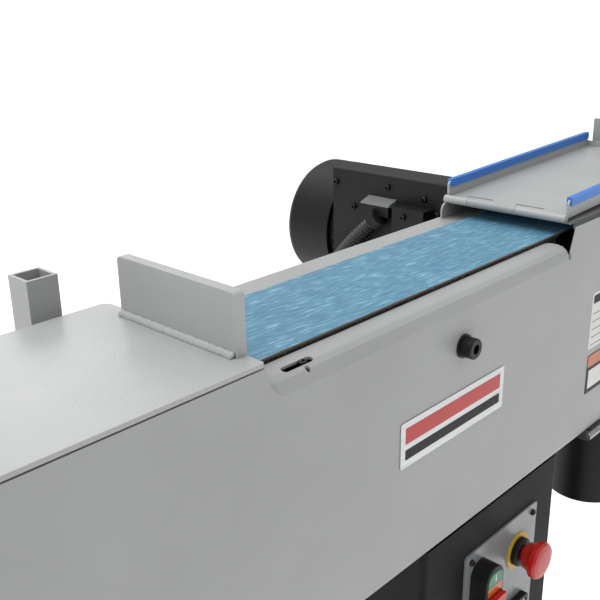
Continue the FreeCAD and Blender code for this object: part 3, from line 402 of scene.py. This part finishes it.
# path, radius and ridgeStep in mm, ridgeDepth as a share of the radius from crest to valley
hose = {"path": [(213, 206, 890), (213, 240, 861), (213, 266, 829)], "radius": 10.3, "ridgeStep": 5.6,
        "ridgeDepth": 0.2, "ringsPerRidge": 10.0, "sides": 28}
hoseTree, given = newTree("ridgedHose", [
    ("Radius", "NodeSocketFloat", 0.01), ("Ridge Step", "NodeSocketFloat", 0.0056),
    ("Ridge Depth", "NodeSocketFloat", 0.1), ("Finish", "NodeSocketMaterial", None)])
sample = addNode(hoseTree, "ShaderNodeMath", [(0, given["Ridge Step"]), (1, hose["ringsPerRidge"])],
                 operation="DIVIDE").outputs[0]
line = addNode(hoseTree, "GeometryNodeResampleCurve", [("Curve", given["Geometry"]), ("Length", sample)],
               mode="LENGTH").outputs[0]
along = addNode(hoseTree, "GeometryNodeSplineParameter").outputs["Length"]
wave = along
# the sine less one is 0 on a crest and -2 in a valley
for operation, *values in (("DIVIDE", given["Ridge Step"]), ("MULTIPLY", 2 * math.pi), ("SINE",),
                           ("SUBTRACT", 1.0), ("MULTIPLY_ADD", given["Ridge Depth"], 1.0),
                           ("MULTIPLY", given["Radius"])):
    links = list(enumerate([wave, *values]))
    wave = addNode(hoseTree, "ShaderNodeMath", links, operation=operation).outputs[0]
girth = wave
line = addNode(hoseTree, "GeometryNodeSetCurveRadius", [("Curve", line), ("Radius", girth)]).outputs[0]
ring = addNode(hoseTree, "GeometryNodeCurvePrimitiveCircle",
               [("Resolution", hose["sides"]), ("Radius", 1.0)]).outputs[0]
sweep = addNode(hoseTree, "GeometryNodeCurveToMesh",
                [("Curve", line), ("Profile Curve", ring), ("Fill Caps", True)])
if "Scale" in sweep.inputs:
    hoseTree.links.new(girth, sweep.inputs["Scale"])
closeTree(hoseTree, sweep.outputs[0], given["Finish"])

curve = bpy.data.curves.new("conduitPath", "CURVE")
curve.dimensions = "3D"
spline = curve.splines.new("NURBS")
spline.points.add(len(hose["path"]) - 1)
for point, spot in zip(spline.points, hose["path"]):
    point.co = (*(Vector(spot) / 1000), 1.0)
spline.order_u = 3
spline.use_endpoint_u = True
spline.resolution_u = 24
mesh = grow(bpy.data.objects.new("conduitPath", curve), hoseTree,
            {"Radius": hose["radius"] / 1000, "Ridge Step": hose["ridgeStep"] / 1000,
             "Ridge Depth": hose["ridgeDepth"] / 2, "Finish": finishes["conduit_plastic"]})
finishPiece(mesh, "ridgedConduit", "frame", "conduit_plastic", ["conduit"])
print("conduit ridged")

# seat is the part of the length, in mm, that the round wire takes up at the two ends
spring = {"centre": (-298, 22, 849.5), "length": 63.0, "turns": 10.5, "radius": 7.6, "wire": 1.3, "seat": 3}
springTree, given = newTree("coilSpring", [
    ("Turns", "NodeSocketFloat", 10.0), ("Radius", "NodeSocketFloat", 0.008),
    ("Length", "NodeSocketFloat", 0.06), ("Wire", "NodeSocketFloat", 0.0013),
    ("Finish", "NodeSocketMaterial", None)])
spiral = addNode(springTree, "GeometryNodeCurveSpiral", [("Resolution", 40), ("Rotations", given["Turns"]),
                 ("Start Radius", given["Radius"]), ("End Radius", given["Radius"]),
                 ("Height", given["Length"])]).outputs[0]
wireRing = addNode(springTree, "GeometryNodeCurvePrimitiveCircle",
                   [("Resolution", 12), ("Radius", given["Wire"])]).outputs[0]
wound = addNode(springTree, "GeometryNodeCurveToMesh", [("Curve", spiral), ("Profile Curve", wireRing),
                ("Fill Caps", True)]).outputs[0]
closeTree(springTree, wound, given["Finish"])
rise = (spring["length"] - spring["seat"]) / 1000
mesh = grow(pointCloud("springSeat", [(0, 0, 0)]), springTree,
            {"Turns": spring["turns"], "Radius": spring["radius"] / 1000, "Length": rise,
             "Wire": spring["wire"] / 1000, "Finish": finishes["bare_steel"]})
mesh.transform(Matrix.Translation(Vector(spring["centre"]) / 1000) @ Matrix.Rotation(math.radians(90), 4, "Y")
               @ Matrix.Translation((0, 0, -rise / 2)))
coil = finishPiece(mesh, "coilSpring", "frame", "bare_steel", ["tension_spring"])
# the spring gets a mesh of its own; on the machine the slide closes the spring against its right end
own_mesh(coil)
print("spring wound")

# mm along the stop plate's foot; wide, flat and reach are shares of the leg
bead = {"front": -107.0, "rear": 13.0, "step": 2.6, "left": -311.0, "top": 962.0, "leg": 5.6, "halfDrop": 2.6,
        "wide": 0.62, "flat": 0.36, "reach": 0.34, "inset": 3, "leanDegrees": -45}
beadTree, given = newTree("weldBead", [("Drop", "NodeSocketObject", None), ("Seed", "NodeSocketInt", 7),
                                       ("Finish", "NodeSocketMaterial", None)])
dropShape = addNode(beadTree, "GeometryNodeObjectInfo", [("Object", given["Drop"])]).outputs["Geometry"]
points = addNode(beadTree, "GeometryNodeMeshToPoints", [("Mesh", given["Geometry"])]).outputs[0]
swell = addNode(beadTree, "FunctionNodeRandomValue", [(2, 0.82), (3, 1.0), ("Seed", given["Seed"])],
                data_type="FLOAT").outputs[1]
drops = addNode(beadTree, "GeometryNodeInstanceOnPoints", [("Points", points), ("Instance", dropShape),
                ("Scale", swell)]).outputs[0]
closeTree(beadTree, drops, given["Finish"])
bm = bmesh.new()
bmesh.ops.create_uvsphere(bm, u_segments=20, v_segments=12, radius=1.0)
bmesh.ops.scale(bm, vec=(bead["leg"] * bead["wide"] / 1000, bead["halfDrop"] / 1000,
                         bead["leg"] * bead["flat"] / 1000), verts=bm.verts)
bmesh.ops.rotate(bm, matrix=Matrix.Rotation(math.radians(bead["leanDegrees"]), 3, "Y"), verts=bm.verts)
drop = bpy.data.objects.new("drop", toMesh(bm, "drop"))
scene.collection.objects.link(drop)
reach = bead["leg"] * bead["reach"]
dropCount = int((bead["rear"] - bead["front"] - bead["inset"] - 1) / bead["step"]) + 1
spots = [(bead["left"] - reach, bead["front"] + bead["inset"] + i * bead["step"], bead["top"] + reach)
         for i in range(dropCount)]
mesh = grow(pointCloud("beadLine", spots), beadTree,
            {"Drop": drop, "Seed": 7, "Finish": finishes["cover_paint"]})
bpy.data.objects.remove(drop)
finishPiece(mesh, "weldBead", "frame", "cover_paint", ["stop_weld"])
print("weld laid,", len(spots), "drops")

stage = {"halfSize": 400, "glow": 0.25, "cloudMm": 800, "skyLow": "#848484", "skyHigh": "#FFFFFF", "sky": 1.1}
bm = bmesh.new()
bmesh.ops.create_grid(bm, x_segments=1, y_segments=1, size=stage["halfSize"])
floor = bpy.data.objects.new("floor", toMesh(bm, "floor"))
scene.collection.objects.link(floor)
paper, paperTree, paperShader, paperPlace = startMaterial("palePaper", 0.9)
paperShader.inputs["Emission Color"].default_value = (1, 1, 1, 1)
paperShader.inputs["Emission Strength"].default_value = stage["glow"]
clouds = addNode(paperTree, "ShaderNodeTexNoise",
                 [("Vector", paperPlace), ("Scale", 1000 / stage["cloudMm"]), ("Detail", 2.0),
                  ("Roughness", 0.5)]).outputs["Fac"]
tone = addNode(paperTree, "ShaderNodeValToRGB", [("Fac", clouds)], stops=[(0.3, "#FAFAFA"), (0.7, "#FEFEFE")])
paperTree.links.new(tone.outputs["Color"], paperShader.inputs["Base Color"])
floor.data.materials.append(paper)

world = bpy.data.worlds.new("studio")
scene.world = world
world.use_nodes = True
sky = addNode(world.node_tree, "ShaderNodeTexCoord").outputs["Generated"]
sky = addNode(world.node_tree, "ShaderNodeSeparateXYZ", [("Vector", sky)]).outputs["Z"]
background = world.node_tree.nodes["Background"].inputs
sky = addNode(world.node_tree, "ShaderNodeValToRGB", [("Fac", sky)],
              stops=[(0.05, stage["skyLow"]), (0.75, stage["skyHigh"])]).outputs["Color"]
world.node_tree.links.new(sky, background["Color"])
background["Strength"].default_value = stage["sky"]
scene.view_settings.view_transform = "Standard"

lamps = {
    "overhead": {"at": (-0.5, 0.6, 3.4), "aim": (-0.1, 0, 0.9), "size": 2.8, "power": 42},
    "backSheen": {"at": (0.9, 2.7, 2.3), "aim": (-0.4, -0.05, 0.96), "size": 1.3, "power": 9},
    "leftSoft": {"at": (-3.2, 0.3, 1.9), "aim": (-0.2, 0, 0.95), "size": 1.8, "power": 20},
}
for name, lamp in lamps.items():
    light = bpy.data.lights.new(name, "AREA")
    light.shape = "DISK"
    light.size = lamp["size"]
    light.energy = lamp["power"]
    holder = bpy.data.objects.new(name, light)
    holder.location = lamp["at"]
    aim = Vector(lamp["aim"]) - Vector(lamp["at"])
    holder.rotation_euler = aim.to_track_quat("-Z", "Y").to_euler()
    scene.collection.objects.link(holder)

view = {"at": (-0.64722, -0.48485, 1.18257), "right": (0.6867, -0.7267, -0.0181),
        "up": (0.2591, 0.2215, 0.9401), "back": (-0.6791, -0.6503, 0.3404), "lens": 52.72}
camera = bpy.data.cameras.new("camera")
camera.lens = view["lens"]
camera.sensor_width = 36
camera.clip_start = 0.01
holder = bpy.data.objects.new("camera", camera)
turn = Matrix([view["right"], view["up"], view["back"]]).transposed()
holder.matrix_world = Matrix.Translation(view["at"]) @ turn.to_4x4()
scene.collection.objects.link(holder)
scene.camera = holder
print("stage set")
